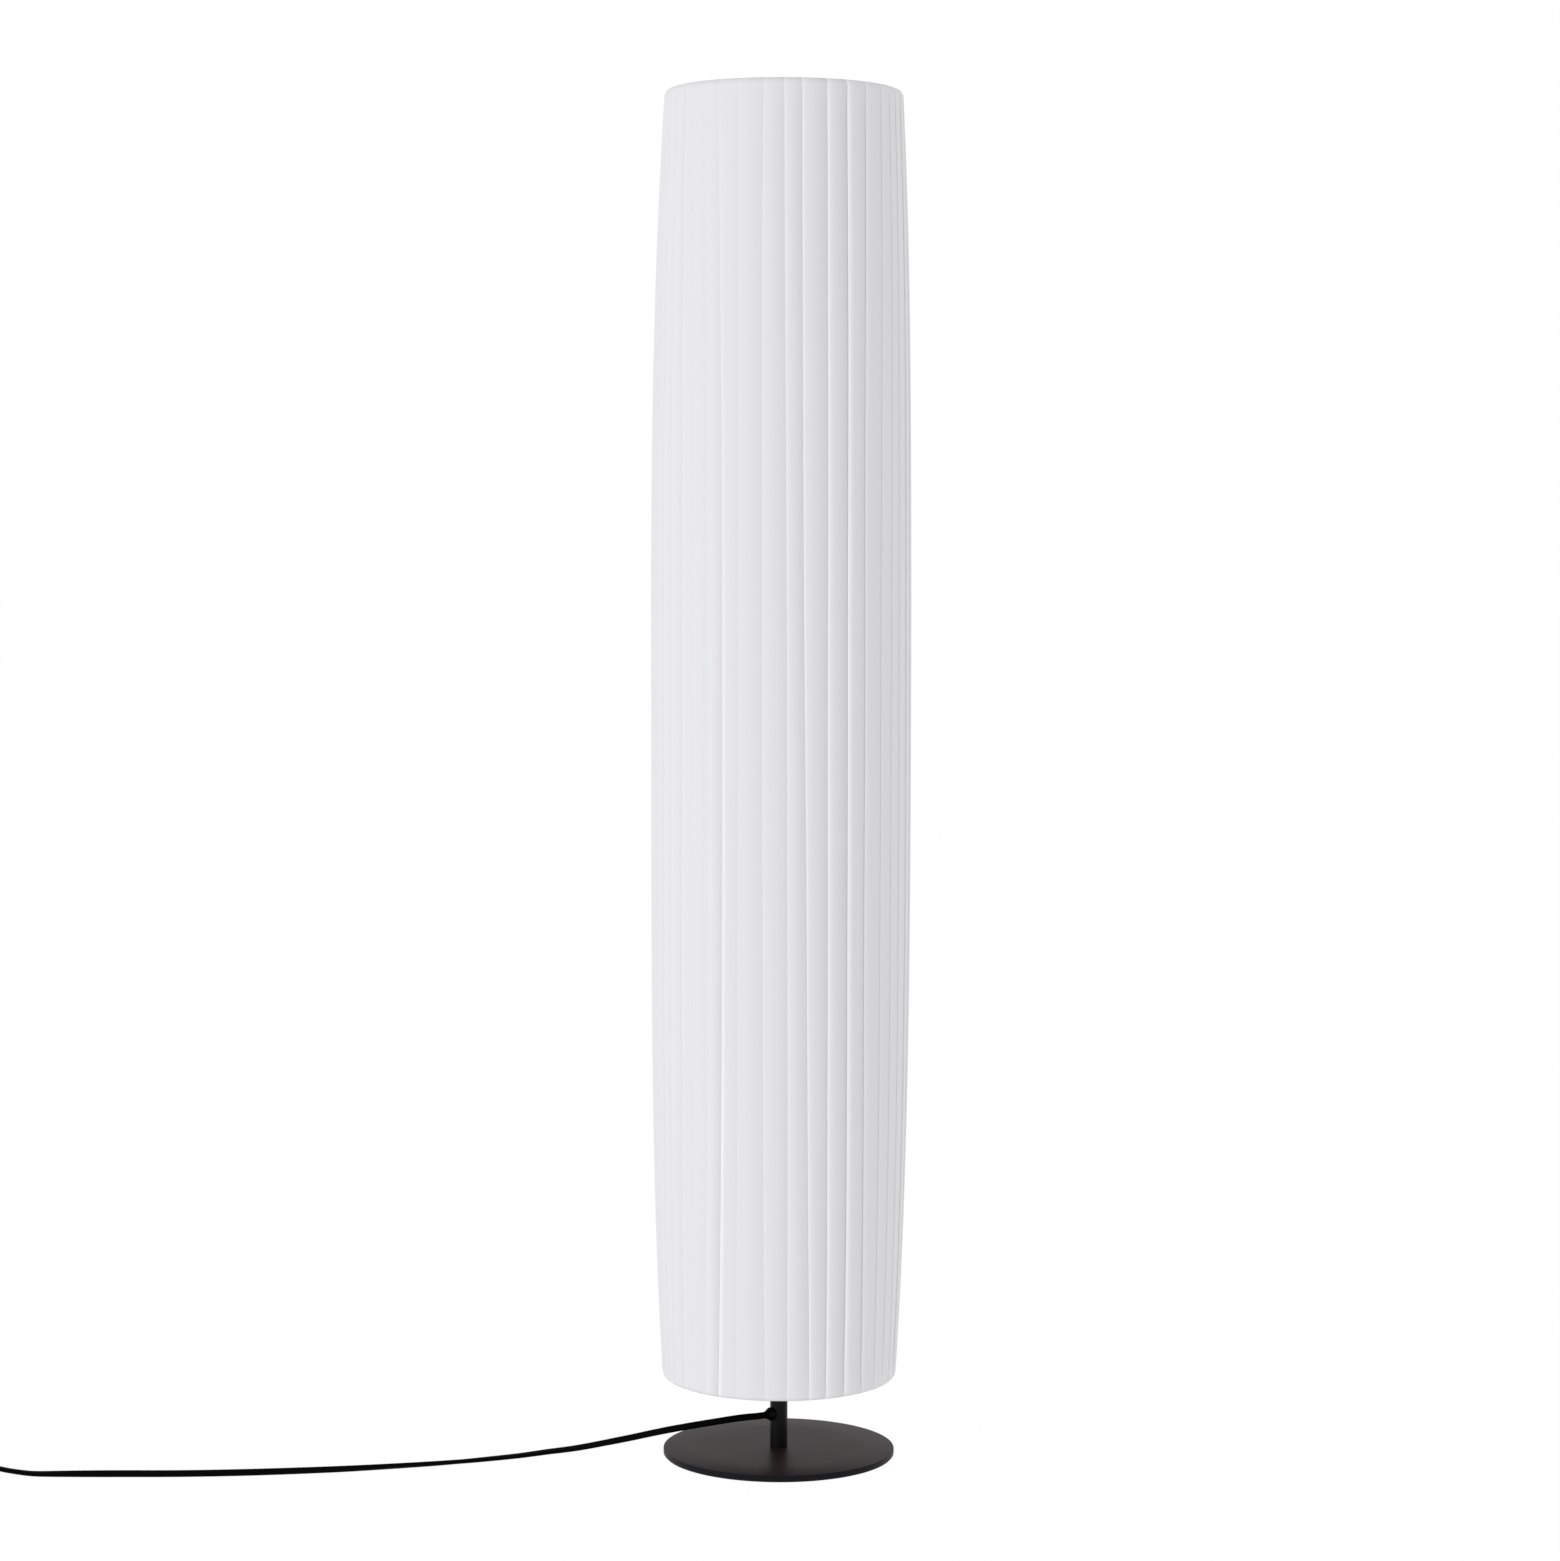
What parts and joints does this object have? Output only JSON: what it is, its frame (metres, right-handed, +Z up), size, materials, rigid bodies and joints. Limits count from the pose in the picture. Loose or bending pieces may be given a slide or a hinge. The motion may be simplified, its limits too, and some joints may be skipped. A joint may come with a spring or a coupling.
{
  "type": "floor lamp",
  "caption": "Tall column floor lamp with a pleated fabric shade on a round steel base, a thin centre pole with bulbs inside, and a supply cord with a foot switch and plug.",
  "frame": {"origin": "floor level on the lamp's axis, under the middle of the base", "axes": "+Z up along the pole, -Y the lamp's front, +X to the right seen from the front; the supply cord leaves towards -X"},
  "size_m": [1.0119, 0.228, 1.2],
  "materials": {
    "foam": "matte",
    "black_plate": "fine textured satin",
    "black_tube": "satin",
    "zinc": "bright zinc",
    "nickel": "satin nickel",
    "brass": "pressed",
    "white_wire": "satin",
    "white_cloth": "matte",
    "white_tape": "matte",
    "holder_white": "matte",
    "bulb_white": "satin",
    "bulb_opal": "frosted",
    "bulb_cap": "rolled thread",
    "contact_black": "glossy",
    "lead_brown": "satin",
    "lead_black": "satin",
    "switch_black": "satin",
    "switch_inside": "matte",
    "tie_black": "matte"
  },
  "bodies": {
    "stand": {"base_pad": "foam", "base_plate": "black_plate", "base_screw": "zinc", "foot_plug": "zinc", "lower_post": "black_tube", "pole_joint": "zinc", "upper_pole": "black_tube", "pole_stud": "zinc", "centring_cross": "white_wire", "grub_screws": "zinc", "lower_arm": "black_tube", "upper_arm": "black_tube", "lower_holder_cap": "holder_white", "lower_holder_barrel": "holder_white", "lower_holder_thread": "brass", "lower_holder_contact": "brass", "upper_holder_cap": "holder_white", "upper_holder_barrel": "holder_white", "upper_holder_thread": "brass", "upper_holder_contact": "brass", "lower_lead": "lead_brown", "upper_lead": "lead_brown", "cord_bush": "lead_black", "cord_run": "lead_black", "switch_lower_shell": "switch_black", "switch_upper_shell": "switch_black", "switch_block": "switch_inside", "switch_screws": "zinc", "cord_link": "lead_black", "cord_coil": "lead_black", "coil_tie": "tie_black", "cord_tail": "lead_black", "plug_body": "switch_black", "plug_pins": "nickel"},
    "shade": {"shade_top_ring": "white_wire", "shade_spider": "white_wire", "shade_bottom_ring": "white_wire", "shade_hoops": "white_wire", "shade_ribs": "white_wire", "shade_top_binding": "white_tape", "shade_bottom_binding": "white_tape", "shade_cloth": "white_cloth", "spider_washer": "zinc"},
    "finial": {"finial_nut": "nickel"},
    "lower_bulb": {"lower_bulb_cap": "bulb_cap", "lower_bulb_contact": "contact_black", "lower_bulb_housing": "bulb_white", "lower_bulb_globe": "bulb_opal"},
    "upper_bulb": {"upper_bulb_cap": "bulb_cap", "upper_bulb_contact": "contact_black", "upper_bulb_housing": "bulb_white", "upper_bulb_globe": "bulb_opal"},
    "foot_button": {"switch_button": "switch_black"}
  },
  "joints": [
    {"name": "shade_lift", "type": "slide", "parent": "stand", "child": "shade", "axis": [0, 0, 1], "range_m": [0, 1.14]},
    {"name": "finial_turn", "type": "hinge", "parent": "shade", "child": "finial", "pos_m": [0, 0, 1.19], "axis": [0, 0, 1], "continuous": true},
    {"name": "lower_bulb_turn", "type": "hinge", "parent": "stand", "child": "lower_bulb", "pos_m": [0, 0.042, 0.3], "axis": [0, 0, 1], "continuous": true},
    {"name": "upper_bulb_turn", "type": "hinge", "parent": "stand", "child": "upper_bulb", "pos_m": [0, -0.042, 0.82], "axis": [0, 0, 1], "continuous": true},
    {"name": "foot_button_press", "type": "slide", "parent": "stand", "child": "foot_button", "axis": [0, 0, -1], "range_m": [0, 0.003], "stiffness_N_per_m": 400, "springref_m": -0.002}
  ]
}
